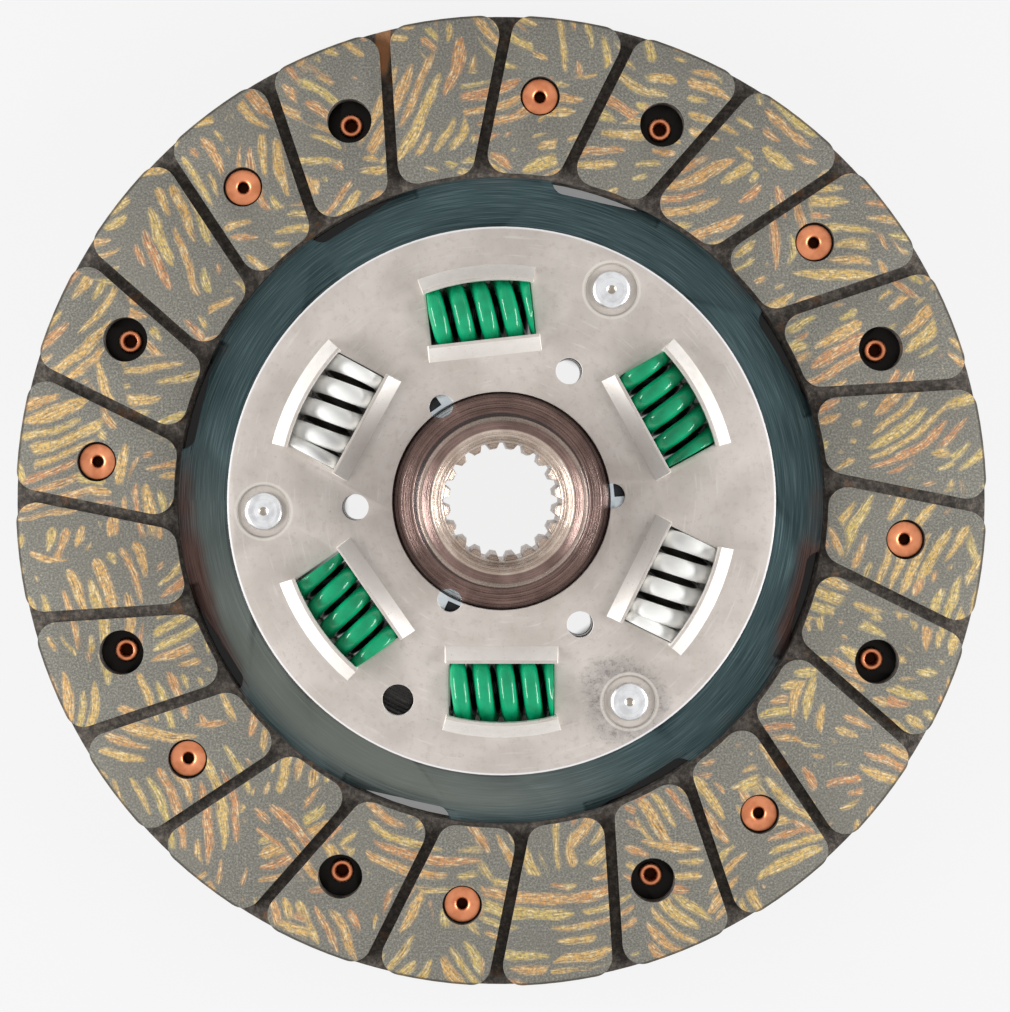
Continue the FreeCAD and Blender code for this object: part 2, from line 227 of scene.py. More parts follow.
def yarn_layer(finish, patch_size, spacing, length, thread_w, seed):
    """Bared yarn: in each patch, arcs of side-by-side strands that thin out to their ends.

    Gives the strands' mask, a lengthwise streak, and a number from 0 to 1 for each strand.
    """
    sway_w, most_bow, lane_shift = 2.6, 0.022, 7.0
    moved = finish.vector("ADD", finish.place, (seed, -seed, 0.0))
    sway = finish.noise(10.0, 1.0, at=moved).out("Color")
    swayed = finish.vector("MULTIPLY_ADD", sway, (sway_w, sway_w, 0.0), moved)
    flat = finish.vector("MULTIPLY", swayed, (1.0, 1.0, 0.0))
    cell = {"Vector": flat, "Scale": 1 / patch_size, "Randomness": 0.85}
    patch = finish.add("ShaderNodeTexVoronoi", {"voronoi_dimensions": "2D"}, cell)
    border = finish.add(
        "ShaderNodeTexVoronoi", {"voronoi_dimensions": "2D", "feature": "DISTANCE_TO_EDGE"}, cell)
    tone = finish.add("ShaderNodeSeparateColor", {}, {0: patch.out("Color")})
    lie = tone * (2 * math.pi)
    cosine, sine = lie.reckon("COSINE"), lie.reckon("SINE")
    from_core = finish.vector("SUBTRACT", flat, patch.out("Position"))
    near = finish.add("ShaderNodeSeparateXYZ", {}, {0: from_core})
    along = near.out("X") * cosine + near.out("Y") * sine
    bow = along * along * (tone.out("Green") * most_bow)
    across = near.out("Y") * cosine - near.out("X") * sine + bow
    lane = across / spacing + 0.5
    number = lane.reckon("FLOOR")
    patch_number = tone.out("Blue") * 90.0 + seed
    start = finish.add("ShaderNodeTexWhiteNoise", {"noise_dimensions": "2D"}, {
        "Vector": finish.join(number, patch_number)})
    part = along / length + start * lane_shift
    piece = part.reckon("FLOOR")
    chances = finish.add("ShaderNodeTexWhiteNoise", {}, {
        "Vector": finish.join(number, piece, patch_number)})
    chances = finish.add("ShaderNodeSeparateColor", {}, {0: chances.out("Color")})
    fullness = chances * 0.4 + 0.6
    from_middle = (part - piece - 0.5).reckon("ABSOLUTE") * 2.0 / fullness
    taper = (1.0 - from_middle.reckon("POWER", 4.0)).reckon("MAXIMUM", 0.0)
    shift = (chances.out("Blue") - 0.5) * (spacing - thread_w) * 0.7
    aside = ((lane - number - 0.5) * spacing + shift).reckon("ABSOLUTE")
    fray = finish.noise(1.0, 4.0, at=finish.join(along * 0.4, across * 3.2, seed), rough=0.65)
    wander = finish.noise(4.0, 1.0, at=finish.join(along, number * 9.0, seed))
    bared = finish.noise(0.7, 3.0, at=moved, rough=0.7).step(0.33, 0.62) * 0.75 + 0.25
    width = (chances.out("Green") * 0.5 + 0.55) * thread_w / 2
    half_w = taper * width * border.step(0.02, 0.1) * (wander * 0.8 + 0.6)
    frayed = (half_w + (fray - 0.5) * 1.1 - aside).step(-0.45, 0.5)
    shown = frayed * half_w.step(0.08, 0.25) * bared
    return shown, fray, chances.out("Blue")


def yarn_colour(finish, streak, chance):
    """Cream fibres over gold, tan or orange, darker where they lie deep."""
    dye = finish.ramp(
        chance, (0.0, tint(206, 180, 98)), (0.4, tint(220, 178, 98)), (0.7, tint(214, 160, 92)),
        (0.95, tint(204, 137, 82)))
    dye = finish.blend(streak.step(0.49, 0.64), dye, tint(240, 220, 176))
    return finish.blend(streak.step(0.46, 0.32), dye, tint(120, 86, 50))


def lining_finish(ground_z):
    """Grey resin and bared yarn on the ground pads, and dark as moulded in the grooves and at the sides."""
    finish = Finish("ground_lining")
    rim_r = 99.4
    flash_spot = (-24.4, 95.0, 0.0)
    height = finish.z.reckon("ABSOLUTE")
    ground = height.step(ground_z - 0.4, ground_z - 0.2)
    rounded = height.step(ground_z - 0.03, ground_z - 0.08)
    grit = finish.noise(0.42, 3.0, rough=0.7)
    cloud = finish.noise(9.0, 2.0)
    resin = finish.ramp(
        grit, (0.28, tint(86, 85, 78)), (0.5, tint(120, 118, 109)), (0.72, tint(167, 164, 152)))
    resin = finish.blend(cloud.step(0.35, 0.75) * 0.3, resin, tint(118, 114, 105))
    first, first_streak, first_chance = yarn_layer(
        finish, patch_size=26.0, spacing=2.95, length=26.0, thread_w=2.35, seed=0.0)
    second, second_streak, second_chance = yarn_layer(
        finish, patch_size=21.0, spacing=2.95, length=21.0, thread_w=2.25, seed=31.0)
    lay = finish.noise(17.0, 0.0).step(0.49, 0.52)
    first = first * (1.0 - lay)
    second = second * lay
    ground_colour = finish.blend(second, resin, yarn_colour(finish, second_streak, second_chance))
    ground_colour = finish.blend(first, ground_colour, yarn_colour(finish, first_streak, first_chance))
    # Painted highlight: the pads' rounded edges are painted light grey.
    ground_colour = finish.blend(rounded * 0.85, ground_colour, tint(184, 180, 168))
    dark_rim = finish.radius.step(rim_r, rim_r + 0.3) * 0.8
    ground_colour = finish.blend(dark_rim, ground_colour, tint(64, 57, 48))
    lumps = finish.noise(1.1, 3.0, rough=0.65)
    moulded = finish.ramp(
        lumps, (0.32, tint(45, 41, 37)), (0.5, tint(74, 68, 62)), (0.7, tint(114, 105, 95)))
    rust = finish.noise(4.0, 2.0).step(0.62, 0.72) * 0.45
    moulded = finish.blend(rust, moulded, tint(120, 82, 48))
    flash = finish.vector("SUBTRACT", finish.flat, flash_spot)
    flash = finish.vector("MULTIPLY", flash, (1.0, 0.22, 0.0))
    flash = finish.vector("LENGTH", flash).out("Value") + (lumps - 0.5) * 0.8
    moulded = finish.blend(flash.step(1.9, 1.3) * 0.85, moulded, tint(196, 142, 98))
    colour = finish.blend(ground, moulded, ground_colour)
    threads = first.reckon("MAXIMUM", second) * ground
    relief = finish.bump(grit, 0.05, 0.6)
    relief = finish.bump(lumps * (1.0 - ground), 0.35, 0.8, under=relief)
    relief = finish.bump(threads, 0.04, 0.6, under=relief)
    return finish.surface(colour, 0.9 - threads * 0.2, 0.0, relief)


def dressed_copy(node, name, material, edge_w, segments=2):
    """A node's form as a mesh of its own, its sharp edges slightly rounded."""
    merge_gap, flat_angle, sharp_angle = 0.002, 0.01, 0.6
    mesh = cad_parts[node].data.copy()
    work = bmesh.new()
    work.from_mesh(mesh)
    bmesh.ops.remove_doubles(work, verts=work.verts, dist=merge_gap * mm)
    bmesh.ops.dissolve_limit(work, angle_limit=flat_angle, verts=work.verts, edges=work.edges)
    work.to_mesh(mesh)
    work.free()
    mesh.materials.clear()
    mesh.materials.append(material)
    piece = bpy.data.objects.new(name, mesh)
    bpy.context.scene.collection.objects.link(piece)
    edge = piece.modifiers.new("edge", "BEVEL")
    edge.width = edge_w * mm
    edge.segments = segments
    edge.limit_method = "ANGLE"
    edge.angle_limit = sharp_angle
    shaded = settle(piece)
    shaded.data.shade_smooth()
    shaded.data.set_sharp_from_angle(angle=sharp_angle)
    return shaded


def settle(piece):
    """Applies a piece's modifiers and leaves a plain mesh."""
    found = piece.evaluated_get(bpy.context.evaluated_depsgraph_get())
    mesh = bpy.data.meshes.new_from_object(found)
    piece.modifiers.clear()
    piece.data = mesh
    return piece


facing_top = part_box("facing_gearbox_side")[1].z / mm
facing_edge_w = 0.18
lining = lining_finish(facing_top)
for side in ("gearbox_side", "flywheel_side"):
    lining_ring = dressed_copy("facing_" + side, "lining_" + side, lining, facing_edge_w)
    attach(lining_ring, "plates")
    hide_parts("facing_" + side)


# Facing rivets
# Sixteen copper rivets, hollow at both ends. One of each pair has its flat head up in a counterbore, and
# the other shows its shank's rolled end at the bottom of an access hole.


def turned_mesh(name, section, steps=48):
    """A turned form from its half section, a list of (radius, height) in millimetres."""
    merge_gap, sharp_angle = 0.001, 0.7
    mesh = bpy.data.meshes.new(name)
    work = bmesh.new()
    line = [work.verts.new((r * mm, 0.0, z * mm)) for r, z in section]
    edges = [work.edges.new(pair) for pair in zip(line, line[1:])]
    bmesh.ops.spin(
        work, geom=line + edges, cent=(0, 0, 0), axis=(0, 0, 1), angle=2 * math.pi, steps=steps,
        use_merge=True)
    bmesh.ops.remove_doubles(work, verts=work.verts, dist=merge_gap * mm)
    bmesh.ops.recalc_face_normals(work, faces=work.faces)
    work.to_mesh(mesh)
    work.free()
    mesh.shade_smooth()
    mesh.set_sharp_from_angle(angle=sharp_angle)
    return mesh


def maker_graph(name, inputs, output):
    """A new geometry tree, empty but for its named inputs, which are given with their kinds."""
    tree = bpy.data.node_groups.new(name, "GeometryNodeTree")
    for label, kind in inputs.items():
        tree.interface.new_socket(label, in_out="INPUT", socket_type="NodeSocket" + kind)
    tree.interface.new_socket(output, in_out="OUTPUT", socket_type="NodeSocketGeometry")
    return Graph(tree)


def ring_pattern():
    """A tree that sets copies of one form round the axis."""
    inputs = {"Count": "Int", "Radius": "Float", "Start": "Float", "Form": "Object", "Finish": "Material"}
    graph = maker_graph("ring_pattern", inputs, "Pattern")
    given = graph.add("NodeGroupInput")
    points = graph.add("GeometryNodePoints", {}, {"Count": given.out("Count")})
    number = graph.add("GeometryNodeInputIndex")
    angle = given.out("Start") + number * (2 * math.pi) / given.out("Count")
    reach = given.out("Radius")
    spot = graph.add("ShaderNodeCombineXYZ", {}, {
        0: reach * angle.reckon("COSINE"), 1: reach * angle.reckon("SINE")})
    placed = graph.add("GeometryNodeSetPosition", {}, {"Geometry": points, "Position": spot})
    form = graph.add("GeometryNodeObjectInfo", {}, {"Object": given.out("Form")}).out("Geometry")
    facing = graph.add("FunctionNodeAxisAngleToRotation", {}, {"Axis": (0.0, 0.0, 1.0), "Angle": angle})
    copies = graph.add("GeometryNodeInstanceOnPoints", {}, {
        "Points": placed, "Instance": form, "Rotation": facing})
    real = graph.add("GeometryNodeRealizeInstances", {}, {0: copies})
    dressed = graph.add("GeometryNodeSetMaterial", {}, {"Geometry": real, "Material": given.out("Finish")})
    graph.add("NodeGroupOutput", {}, {"Pattern": dressed})
    return graph.tree


def grown(name, tree, sizes):
    """Runs a geometry tree with its named sizes and keeps what it makes as a plain mesh."""
    piece = bpy.data.objects.new(name, bpy.data.meshes.new(name))
    bpy.context.scene.collection.objects.link(piece)
    maker = piece.modifiers.new("maker", "NODES")
    maker.node_group = tree
    for socket in tree.interface.items_tree:
        if socket.name in sizes:
            maker[socket.identifier] = sizes[socket.name]
    return settle(piece)


around_axis = ring_pattern()


def ring_of(name, mesh, count, radius, start, finish):
    """Like pieces in an even ring, the first at start degrees, as one mesh."""
    form = bpy.data.objects.new(name + "_form", mesh)
    bpy.context.scene.collection.objects.link(form)
    ring = grown(name, around_axis, {
        "Count": count, "Radius": radius * mm, "Start": math.radians(start), "Form": form,
        "Finish": finish})
    bpy.data.objects.remove(form)
    return ring


rivet_r = 83.8
head_angle = 84.5
tail_angle = 66.8
petal_count = 8
rivet_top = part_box("rivets_gearbox_side")[1].z / mm
tail_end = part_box("rivets_gearbox_side")[0].z / mm
bore_r = 1.05


def rivet_section():
    """Head on top with a funnel into the blind bore, shank, and a rolled end at the bottom."""
    edge = 0.15
    head_r = 3.7
    under = rivet_top - 0.9
    shank_r = 2.1
    web = (rivet_top + tail_end) / 2
    roll_r = 0.6
    roll_mid = 1.85
    roll_z = tail_end + roll_r
    bore = [(0, web + 0.25), (bore_r, web + 0.25)]
    funnel = [(bore_r, 0.8), (1.14, 0.5), (1.32, 0.25), (1.58, 0.08), (1.9, 0.0)]
    funnel = [(r, rivet_top - depth) for r, depth in funnel]
    rim = [(head_r - edge, rivet_top), (head_r - edge * 0.3, rivet_top - edge * 0.3),
           (head_r, rivet_top - edge)]
    foot = [(head_r, under + edge), (head_r - edge, under), (shank_r, under), (shank_r, roll_z + 0.3)]
    turns = [math.radians(a) for a in (10, -30, -60, -90, -120, -150, -180)]
    roll = [(roll_mid + roll_r * math.cos(a), roll_z + roll_r * math.sin(a)) for a in turns]
    tail_bore = [(1.24, roll_z + 0.6), (bore_r, roll_z + 1.0), (bore_r, web - 0.25), (0, web - 0.25)]
    return bore + funnel + rim + foot + roll + tail_bore


def copper_finish():
    """Bright copper, with painted shade making it nearly black down in the bores."""
    finish = Finish("rivet_copper")
    cloud = finish.noise(2.2, 3.0)
    fine = finish.noise(0.3, 2.0)
    reach = finish.from_ring(petal_count, rivet_r, head_angle)
    reach = reach.reckon("MINIMUM", finish.from_ring(petal_count, rivet_r, tail_angle))
    turned = finish.noise(1.0, 1.0, at=finish.join(reach * 6.0))
    in_bore = reach.step(bore_r + 0.17, bore_r)
    # Painted shade: the copper is painted darker the deeper it lies in the bores.
    deep = in_bore * finish.z.reckon("ABSOLUTE").step(rivet_top - 0.2, rivet_top - 0.9)
    colour = finish.blend(cloud.step(0.35, 0.7), tint(224, 146, 106), tint(200, 124, 86))
    colour = finish.blend(deep, colour, tint(34, 14, 8))
    relief = finish.bump(turned, 0.012, 0.8, under=finish.bump(fine, 0.01, 0.6))
    return finish.surface(colour, fine * 0.2 + 0.3, 1.0, relief)


copper = copper_finish()
rivet = turned_mesh("rivet", rivet_section())
upside = rivet.copy()
upside.transform(Matrix.Rotation(math.pi, 4, "X"))
for side, form, start in (("gearbox_side", rivet, head_angle), ("flywheel_side", upside, tail_angle)):
    rivets = ring_of("copper_rivets_" + side, form, petal_count, rivet_r, start, copper)
    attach(rivets, "plates")
    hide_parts("rivets_" + side)


# Cushion plate
# Thin blued spring steel, one sheet with eight waved petals that carry the facings. It was brushed round
# the disc before bluing. Its colour turns brown towards the petals, which are scaled black from pressing.


def blued_finish():
    """Brushed blue-grey that pales at the lower left, browns at the sides and is black on the petals."""
    finish = Finish("blued_spring_steel")
    shown_r = 66.0
    brushed = finish.noise(1.0, 3.0, at=finish.join(finish.radius * 5.0, finish.sweep * 6.0))
    cloud = finish.noise(14.0, 2.0)
    sides = (finish.x.reckon("ABSOLUTE") / shown_r).step(0.74, 0.97) * finish.y.step(18.0, -22.0)
    brown = ((cloud + sides * 0.6) * finish.radius.step(57.0, shown_r)).step(0.5, 1.0)
    blue = finish.ramp(
        brushed, (0.3, tint(46, 63, 67)), (0.5, tint(62, 80, 83)), (0.72, tint(86, 104, 106)))
    brown_tone = finish.ramp(brushed, (0.3, tint(62, 46, 44)), (0.7, tint(108, 84, 76)))
    pale = (finish.x * -0.6 + finish.y * -0.8).step(18.0, 66.0) * finish.radius.step(68.0, 62.0)
    blue = finish.blend(pale * 0.75, blue, tint(122, 124, 116))
    colour = finish.blend(brown, blue, brown_tone)
    colour = finish.blend(finish.radius.step(shown_r + 1.5, shown_r + 3.5), colour, tint(24, 22, 20))
    return finish.surface(colour, 0.34 + brushed * 0.2, 0.85, finish.combed(0.5, 6.0))


blued = blued_finish()
petal_edge_w = 0.08
petals = dressed_copy("cushion_plate", "petal_plate", blued, petal_edge_w)
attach(petals, "plates")
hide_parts("cushion_plate")


# Cover plates
# Two pressed sheets, left plain, that hold the springs in lipped windows. Three pins rivet them together,
# each in a ring that its punch coined, and one of them in a grey oily stain.

pin_count = 3
pin_r = 48.6
pin_angle = 62.5
coined_r = 5.2
lip_r = 5.75
crease_r = 5.3
stain_x, stain_y = 24.9, -40.2
cover_rim_r = 55.5
cover_edge_w = 0.3


def sheet_finish():
    """Satin sheet, clouded and lightly scratched, with burnish and painted highlight on the lips, sloped
    faces and rim.
    """
    finish = Finish("pressed_sheet")
    cloud = finish.noise(11.0, 3.0)
    mottle = finish.noise(1.6, 3.0, rough=0.65)
    speck = finish.noise(0.4, 1.0)
    worn = finish.noise(1.0, 2.0, at=finish.join(finish.radius * 1.4, finish.sweep * 5.0))
    colour = finish.blend(cloud.step(0.35, 0.7), tint(203, 195, 188), tint(187, 179, 171))
    colour = finish.blend(mottle.step(0.48, 0.75) * 0.4, colour, tint(168, 158, 149))
    colour = finish.blend(worn.step(0.58, 0.75) * 0.3, colour, tint(226, 221, 216))
    # Burnish and painted highlight: faces that tilt away from upright, such as the lips and rounded edges,
    # are painted near white.
    upright = finish.add("ShaderNodeNewGeometry").out("Normal")
    lean = finish.add("ShaderNodeSeparateXYZ", {}, {0: upright})
    burnish_and_highlight = lean.out("Z").reckon("ABSOLUTE").step(0.97, 0.8)
    colour = finish.blend(burnish_and_highlight * (mottle * 0.5 + 0.5), colour, tint(247, 244, 239))
    from_pin = finish.from_ring(pin_count, pin_r, pin_angle)
    coined = from_pin.step(coined_r + 0.3, coined_r)
    colour = finish.blend(coined * 0.25, colour, tint(192, 184, 171))
    blotch = finish.noise(2.6, 4.0, rough=0.7)
    reach = finish.from_spot(stain_x, stain_y) + (blotch - 0.5) * 6.0 + (cloud - 0.5) * 6.0
    stain = reach.step(10.6, 6.0) * from_pin.step(4.8, 5.8) * (blotch.step(0.35, 0.6) * 0.5 + 0.5)
    colour = finish.blend(stain * 0.75, colour, tint(138, 131, 128))
    colour = finish.blend(stain * mottle.step(0.5, 0.66) * 0.55, colour, tint(112, 104, 100))
    colour = finish.blend(stain * speck.step(0.58, 0.7) * 0.5, colour, tint(98, 90, 86))
    # Painted highlight on the raised lip round each pin, and painted shade in the crease inside it.
    lip_highlight = (from_pin - lip_r).reckon("ABSOLUTE").step(0.4, 0.15)
    colour = finish.blend(lip_highlight * 0.5, colour, tint(224, 218, 210))
    crease_shade = (from_pin - crease_r).reckon("ABSOLUTE").step(0.28, 0.08)
    colour = finish.blend(crease_shade * 0.5, colour, tint(136, 128, 118))
    colour = finish.blend(speck.step(0.69, 0.77) * 0.45, colour, tint(146, 136, 128))
    # Burnish and painted highlight: a near-white line is painted round the outer rim.
    rim = finish.radius.step(cover_rim_r, cover_rim_r + 0.25)
    colour = finish.blend(rim * 0.8, colour, tint(240, 237, 238))
    relief = finish.bump(mottle, 0.02, 0.5)
    return finish.surface(colour, 0.42 + mottle * 0.16, 0.4, relief)


sheet = sheet_finish()
for side in ("gearbox_side", "flywheel_side"):
    cover = dressed_copy("cover_plate_" + side, "cover_" + side, sheet, cover_edge_w, segments=3)
    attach(cover, "plates")
    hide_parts("cover_plate_" + side)


# Hub
# Forged and turned steel: a flange between the cover plates, a shoulder, and a long boss with a broached
# bore of twenty splines. Heat has browned it, most of all on the shoulder.


def turned_steel_finish():
    """Browned turned steel, pale in the bore, with painted highlight on the chamfer and painted shade on
    the shoulder and flange.
    """
    finish = Finish("turned_hub_steel")
    mouth_r, chamfer_r, face_r, foot_r = 14.2, 16.5, 16.9, 17.5
    notch_count, notch_r, notch_reach, notch_angle = 3, 2.6, 23.15, 2.5
    cloud = finish.noise(5.0, 3.0)
    ring_place = finish.join(finish.radius * 2.2, finish.sweep * 1.2, finish.z * 0.7)
    bands = finish.noise(1.0, 2.0, at=ring_place)
    low = finish.z.step(11.0, 9.0)
    face = finish.blend(cloud.step(0.3, 0.7), tint(128, 101, 92), tint(98, 72, 64))
    oxide = finish.blend(cloud.step(0.3, 0.7), tint(118, 91, 83), tint(90, 66, 59))
    bore = finish.blend(cloud.step(0.35, 0.65), tint(208, 192, 178), tint(176, 156, 142))
    colour = finish.blend(low, face, oxide)
    colour = finish.blend(bands.step(0.5, 0.7) * 0.35, colour, tint(158, 132, 121))
    # Painted highlight: a pale ring is painted on the boss's chamfer.
    chamfer = (finish.radius - chamfer_r).reckon("ABSOLUTE").step(0.5, 0.2) * (1.0 - low)
    colour = finish.blend(chamfer * 0.5, colour, tint(200, 184, 172))
    # Painted shade: a dark ring is painted round the foot of the boss, where its contact shadow falls.
    foot = (finish.radius - foot_r).reckon("ABSOLUTE").step(0.7, 0.25) * low
    colour = finish.blend(foot * 0.85, colour, tint(34, 27, 25))
    # Painted shade: the shoulder is painted darker towards the edge of the cover's hole.
    colour = finish.blend(finish.radius.step(20.8, 22.0) * low * 0.45, colour, tint(58, 48, 46))
    notched = finish.from_ring(notch_count, notch_reach, notch_angle).step(notch_r + 0.15, notch_r)
    notched = notched * finish.z.step(6.4, 6.0)
    colour = finish.blend(notched, colour, tint(194, 202, 206))
    colour = finish.blend(finish.radius.step(mouth_r + 0.3, mouth_r), colour, bore)
    # Painted shade: the flange between the covers is painted nearly black.
    colour = finish.blend(finish.radius.step(30.0, 36.0), colour, tint(24, 18, 15))
    rough = finish.noise(0.8, 2.0) * 0.12 + 0.22
    end_face = (1.0 - low) * finish.radius.step(mouth_r, mouth_r + 0.4)
    end_face = end_face * finish.radius.step(face_r, chamfer_r)
    marks = finish.combed(4.5 - end_face * 2.3, 7.0, end_face * 0.5)
    return finish.surface(colour, rough, 0.5, marks, **{"Specular IOR Level": 1.0})


hub_steel = turned_steel_finish()
hub_edge_w = 0.15
hub = dressed_copy("hub", "splined_hub", hub_steel, hub_edge_w)
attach(hub, "hub")
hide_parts("hub")


# Friction pack and centring bush
# Two moulded friction rings, a zinc-plated thrust washer and a cone spring brake the hub's flange, and a
# moulded bush centres the hub.


def plain_finish(name, light, dark, roughness, grain=0.6, metallic=1.0):
    """Two close tones in soft clouds over a fine surface grain."""
    finish = Finish(name)
    cloud = finish.noise(2.5, 3.0)
    fine = finish.noise(grain, 2.0)
    colour = finish.blend(cloud.step(0.35, 0.7), light, dark)
    rough = fine * 0.2 + (roughness - 0.1)
    return finish.surface(colour, rough, metallic, finish.bump(fine, 0.01, 0.6))


pack_edge_w = 0.06
moulded = plain_finish("moulded_ring", tint(58, 52, 48), tint(40, 36, 34), 0.7, metallic=0.0)
zinc = plain_finish("zinc_plate", tint(206, 213, 217), tint(182, 191, 197), 0.35, grain=0.4)
scaled = plain_finish("scaled_spring_steel", tint(50, 53, 58), tint(32, 34, 38), 0.5, metallic=0.4)
for node, material, slot in (
    ("friction_ring_gearbox_side", moulded, "friction_ring"),
    ("friction_ring_flywheel_side", moulded, "friction_ring"),
    ("thrust_washer", zinc, "zinc_washer"),
    ("cone_spring", scaled, "blued_steel"),
    ("centring_bush", moulded, "bush"),
):
    piece = dressed_copy(node, node + "_dressed", material, pack_edge_w)
    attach(piece, "plates")
    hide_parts(node)


# Stop pins
# Three turned steel pins tie the covers together and stop the hub's twist. Their ends are riveted over
# with a ringed punch that leaves a small dimple.

pin_low, pin_high = (corner.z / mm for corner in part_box("stop_pins"))
cover_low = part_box("cover_plate_gearbox_side")[0].z / mm


def pin_section():
    """Dimple, ringed head, shank, thick middle between the plates, and the flat foot."""
    top = pin_high
    dimple = [(0, 0.42), (0.5, 0.36), (0.82, 0.16), (0.95, 0.02), (1.08, 0.0)]
    head = [(1.2, 0.05), (1.8, 0.07), (1.95, 0.12), (2.5, 0.12), (2.65, 0.05), (3.05, 0.06), (3.4, 0.15),
            (3.72, 0.36), (3.88, 0.62), (3.88, 0.8)]
    head = [(r, top - depth) for r, depth in dimple + head]
    shank_r, middle_r, middle_low = 3.0, 4.0, 0.4
    foot_top = pin_low + 1.2
    middle = [(shank_r, top - 0.8), (shank_r, cover_low), (middle_r, cover_low), (middle_r, middle_low),
              (shank_r, middle_low), (shank_r, foot_top)]
    foot = [(4.4, foot_top), (4.4, pin_low + 0.9), (4.1, pin_low), (0, pin_low)]
    return head + middle + foot


def pin_finish():
    """Bright steel with the punch's turned rings and a dull dimple."""
    finish = Finish("riveted_pin_steel")
    reach = finish.from_ring(pin_count, pin_r, pin_angle)
    turned = finish.noise(1.0, 2.0, at=finish.join(reach * 3.5))
    cloud = finish.noise(2.0, 2.0)
    dimple = reach.step(0.95, 0.8)
    colour = finish.blend(cloud.step(0.35, 0.7), tint(232, 233, 234), tint(208, 208, 210))
    colour = finish.blend(turned.step(0.55, 0.7) * 0.4, colour, tint(176, 174, 176))
    colour = finish.blend(dimple * 0.8, colour, tint(142, 128, 108))
    relief = finish.bump(turned, 0.05, 0.8)
    return finish.surface(colour, 0.26 + cloud * 0.12, 1.0, relief)


pin_mesh = turned_mesh("pin", pin_section(), steps=96)
pins = ring_of("riveted_pins", pin_mesh, pin_count, pin_r, pin_angle, pin_finish())
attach(pins, "plates")
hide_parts("stop_pins")


# Damper springs
# Six coils of round spring wire with ground ends, four dipped in glossy green paint and two in white.
# Painted shade darkens the inner faces of each coil.

coil_wire_r = 1.85
coil_mean_r = 5.87
coil_len = 21.1
green_pitch = 4.85
white_pitch = 5.2
spring_axis_r = 38.9
spring_z = 2.8


def coil_tree():
    """A tree that winds one coil of wire along Y, its ends closed up and cut flat."""
    sizes = ("Coil radius", "Wire radius", "Pitch", "Turns", "Phase", "Length", "Low end", "High end")
    inputs = {**{size: "Float" for size in sizes}, "Finish": "Material"}
    graph = maker_graph("wound_coil", inputs, "Coil")
    coil_points, wire_sides, closing = 260, 24, 0.8 * mm
    given = graph.add("NodeGroupInput")
    line = graph.add("GeometryNodeCurvePrimitiveLine")
    fine = graph.add("GeometryNodeResampleCurve", {}, {"Curve": line, "Count": coil_points})
    share = graph.add("GeometryNodeSplineParameter").out("Factor")
    turns = given.out("Turns")
    angle = (share - 0.5) * turns * (2 * math.pi) + given.out("Phase")
    reach = given.out("Coil radius")
    rise = (share - 0.5) * turns * given.out("Pitch")
    rise = rise.reckon("SMOOTH_MIN", given.out("High end"), closing)
    rise = rise.reckon("SMOOTH_MAX", given.out("Low end"), closing)
    spot = graph.add("ShaderNodeCombineXYZ", {}, {
        0: reach * angle.reckon("SINE"), 1: rise, 2: reach * angle.reckon("COSINE")})
    wound = graph.add("GeometryNodeSetPosition", {}, {"Geometry": fine, "Position": spot})
    section = graph.add("GeometryNodeCurvePrimitiveCircle", {}, {
        "Resolution": wire_sides, "Radius": given.out("Wire radius")})
    wire = graph.add("GeometryNodeCurveToMesh", {}, {
        "Curve": wound, "Profile Curve": section, "Fill Caps": True})
    here = graph.add("GeometryNodeInputPosition")
    place = graph.add("ShaderNodeSeparateXYZ", {}, {0: here})
    from_axis = graph.add("ShaderNodeVectorMath", {"operation": "NORMALIZE"}, {
        0: graph.add("ShaderNodeVectorMath", {"operation": "MULTIPLY"}, {0: here, 1: (1.0, 0.0, 1.0)})})
    outward = graph.add("ShaderNodeVectorMath", {"operation": "DOT_PRODUCT"}, {
        0: graph.add("GeometryNodeInputNormal"), 1: from_axis}).out("Value")
    marked = graph.add("GeometryNodeStoreNamedAttribute", {"data_type": "FLOAT", "domain": "POINT"}, {
        "Geometry": wire, "Name": "outward", "Value": outward})
    half = given.out("Length") / 2
    capped = place.out("Y").reckon("MINIMUM", half).reckon("MAXIMUM", half * -1.0)
    ground = graph.add("ShaderNodeCombineXYZ", {}, {0: place.out("X"), 1: capped, 2: place.out("Z")})
    flat = graph.add("GeometryNodeSetPosition", {}, {"Geometry": marked, "Position": ground})
    smooth = graph.add("GeometryNodeSetShadeSmooth", {}, {0: flat})
    real = graph.add("GeometryNodeRealizeInstances", {}, {0: smooth})
    dressed = graph.add("GeometryNodeSetMaterial", {}, {"Geometry": real, "Material": given.out("Finish")})
    graph.add("NodeGroupOutput", {}, {"Coil": dressed})
    return graph.tree


def paint_finish(name, tone, shade, inner_shade_tone, gloss, coat, glint):
    """Glossy dipped paint, a little uneven, with painted shade on the coil's inner faces."""
    finish = Finish(name)
    cloud = finish.noise(3.0, 2.0)
    ripple = finish.noise(1.2, 1.0)
    outward = finish.add("ShaderNodeAttribute", {"attribute_name": "outward"}).out("Fac")
    # Painted shade: faces turned towards the coil's axis take the dark inner tone.
    inner_shade = (outward + (ripple - 0.5) * 0.4).step(-0.15, -0.5)
    colour = finish.blend(cloud.step(0.3, 0.7), tone, shade)
    colour = finish.blend(inner_shade, colour, inner_shade_tone)
    relief = finish.bump(ripple, 0.04, 0.4)
    shine = {"Coat Weight": coat, "Coat Roughness": 0.06, "Specular IOR Level": glint}
    return finish.surface(colour, gloss + cloud * 0.12, 0.0, relief, **shine)


green_paint = paint_finish(
    "green_paint", tint(0, 164, 112), tint(0, 146, 97), tint(4, 18, 12), gloss=0.5, coat=0.5, glint=0.1)
white_paint = paint_finish(
    "white_paint", tint(255, 255, 252), tint(250, 250, 246), tint(72, 64, 57), gloss=0.55, coat=0.1,
    glint=0.6)
wound_coil = coil_tree()
